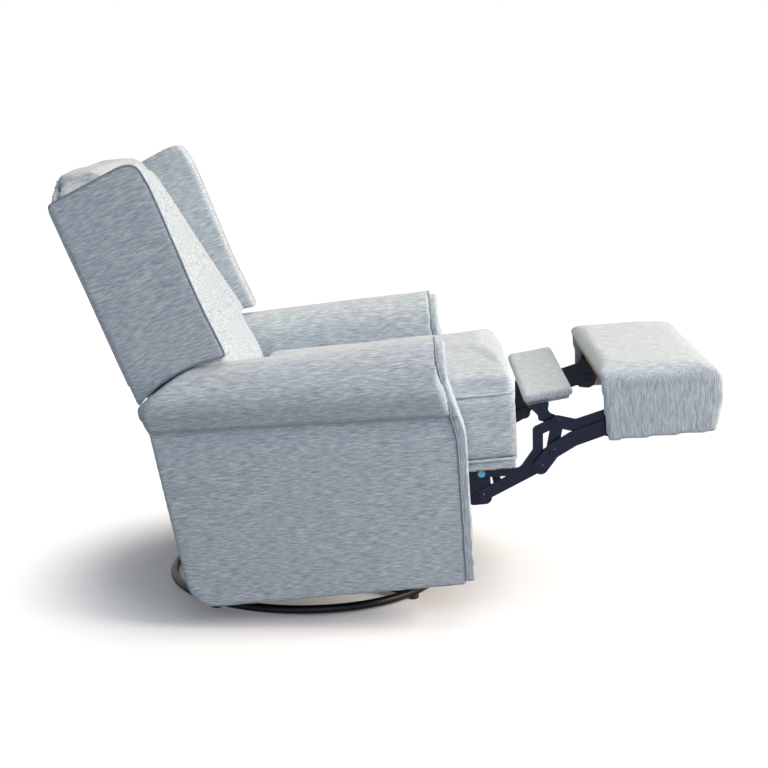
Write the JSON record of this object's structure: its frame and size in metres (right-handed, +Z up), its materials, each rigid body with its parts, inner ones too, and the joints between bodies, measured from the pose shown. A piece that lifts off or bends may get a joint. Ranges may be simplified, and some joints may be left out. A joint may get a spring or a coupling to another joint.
{
  "type": "swivel glider recliner",
  "caption": "Swivel glider recliner with rolled arms, a high wing back and a padded footrest on folding steel links, on a round turning base.",
  "frame": {"origin": "centre of the round base on the floor", "axes": "+Z up; the chair faces -Y, so the footrest comes out towards -Y; the sitter's left is +X"},
  "size_m": [0.7734, 1.3392, 0.9184],
  "materials": {
    "base_steel": "satin black paint",
    "link_steel": "semi-gloss black paint",
    "bearing_steel": "zinc-plated",
    "spring_steel": "oiled wire",
    "foot_plastic": "matte",
    "bush_nylon": "pale blue nylon",
    "upholstery": "heathered woven blue-grey",
    "webbing": "elastic webbing",
    "hardwood": "bare"
  },
  "bodies": {
    "base": {"base_ring": "base_steel", "base_spokes": "base_steel", "base_feet": "foot_plastic", "swivel_lower_race": "bearing_steel", "swivel_balls": "bearing_steel", "swivel_king_pin": "bearing_steel"},
    "turntable": {"swivel_upper_race": "bearing_steel", "glide_cross_bars": "link_steel", "glide_pins": "link_steel", "glide_side_left": "link_steel", "glide_side_right": "link_steel"},
    "front_hangers": {"hangers_front": "link_steel"},
    "rear_hangers": {"hangers_rear": "link_steel"},
    "carriage": {"carriage_pins": "link_steel", "carriage_tubes": "link_steel", "tilt_axle": "link_steel", "carriage_side_left": "link_steel", "carriage_side_right": "link_steel"},
    "chair_body": {"seat_frame": "hardwood", "seat_springs": "spring_steel", "seat_border": "upholstery", "seat_cushion": "upholstery", "rear_panel": "upholstery", "arm_spacers": "hardwood", "chair_pins": "link_steel", "pivot_bushes": "bush_nylon", "mechanism_plate_left": "link_steel", "mechanism_plate_right": "link_steel", "arm_cover_left": "upholstery", "arm_cover_right": "upholstery", "arm_frame_left": "hardwood", "arm_frame_right": "hardwood", "arm_front_panel_left": "upholstery", "arm_front_panel_right": "upholstery"},
    "front_links": {"link_rivets_front": "link_steel", "front_link_left": "link_steel", "front_link_right": "link_steel"},
    "rear_links": {"torque_tube": "link_steel", "rear_link_left": "link_steel", "rear_link_right": "link_steel"},
    "long_links": {"link_rivets_footrest": "link_steel", "long_link_left": "link_steel", "long_link_right": "link_steel"},
    "upper_links": {"upper_link_left": "link_steel", "upper_link_right": "link_steel"},
    "footrest": {"footrest_board": "hardwood", "footrest_pad": "upholstery", "footrest_bracket_left": "link_steel", "footrest_bracket_right": "link_steel"},
    "flipper": {"flipper_board": "hardwood", "flipper_pad": "upholstery", "flipper_brackets": "link_steel"},
    "back": {"back_frame": "hardwood", "back_webbing": "webbing", "back_cushion": "upholstery", "outside_back": "upholstery", "back_bracket_left": "link_steel", "back_bracket_right": "link_steel", "wing_left": "upholstery", "wing_right": "upholstery"}
  },
  "joints": [
    {"name": "swivel", "type": "hinge", "parent": "base", "child": "turntable", "pos_m": [0, 0, 0], "axis": [0, 0, 1], "continuous": true},
    {"name": "glide", "type": "hinge", "parent": "turntable", "child": "front_hangers", "pos_m": [0, -0.14, 0.235], "axis": [-1, 0, 0], "range_deg": [-12, 12]},
    {"name": "glide_rear_link", "type": "hinge", "parent": "turntable", "child": "rear_hangers", "pos_m": [0, 0.14, 0.235], "axis": [-1, 0, 0], "range_deg": [-12, 12]},
    {"name": "glide_carriage", "type": "hinge", "parent": "front_hangers", "child": "carriage", "pos_m": [0, -0.14, 0.105], "axis": [-1, 0, 0], "range_deg": [-12, 12]},
    {"name": "body_tilt", "type": "hinge", "parent": "carriage", "child": "chair_body", "pos_m": [0, -0.06, 0.2], "axis": [-1, 0, 0], "range_deg": [-5.5, 0]},
    {"name": "footrest_fold", "type": "hinge", "parent": "chair_body", "child": "front_links", "pos_m": [0, -0.36888, 0.28912], "axis": [-1, 0, 0], "range_deg": [-103.2, 0]},
    {"name": "rear_link_fold", "type": "hinge", "parent": "chair_body", "child": "rear_links", "pos_m": [0, -0.36946, 0.24035], "axis": [-1, 0, 0], "range_deg": [-99.61, 0]},
    {"name": "long_link_fold", "type": "hinge", "parent": "front_links", "child": "long_links", "pos_m": [0, -0.51145, 0.338], "axis": [-1, 0, 0], "range_deg": [0, 186.81]},
    {"name": "upper_link_fold", "type": "hinge", "parent": "front_links", "child": "upper_links", "pos_m": [0, -0.52112, 0.39821], "axis": [-1, 0, 0], "range_deg": [0, 183.31]},
    {"name": "footrest_turn", "type": "hinge", "parent": "long_links", "child": "footrest", "pos_m": [0, -0.64038, 0.38046], "axis": [-1, 0, 0], "range_deg": [-168.21, 0]},
    {"name": "flipper_turn", "type": "hinge", "parent": "front_links", "child": "flipper", "pos_m": [0, -0.52112, 0.39821], "axis": [-1, 0, 0], "range_deg": [0, 135.21]},
    {"name": "back_recline", "type": "hinge", "parent": "chair_body", "child": "back", "pos_m": [0, 0.09889, 0.28516], "axis": [-1, 0, 0], "range_deg": [0, 16]}
  ],
  "couplings": [
    {"joint": "glide_rear_link", "follows": "glide", "ratio": 1},
    {"joint": "glide_carriage", "follows": "glide", "ratio": -1},
    {"joint": "body_tilt", "follows": "footrest_fold", "ratio": 0.05329},
    {"joint": "rear_link_fold", "follows": "footrest_fold", "ratio": 0.96512},
    {"joint": "long_link_fold", "follows": "footrest_fold", "ratio": -1.8101},
    {"joint": "upper_link_fold", "follows": "footrest_fold", "ratio": -1.7762},
    {"joint": "footrest_turn", "follows": "footrest_fold", "ratio": 1.6298},
    {"joint": "flipper_turn", "follows": "footrest_fold", "ratio": -1.3101}
  ]
}
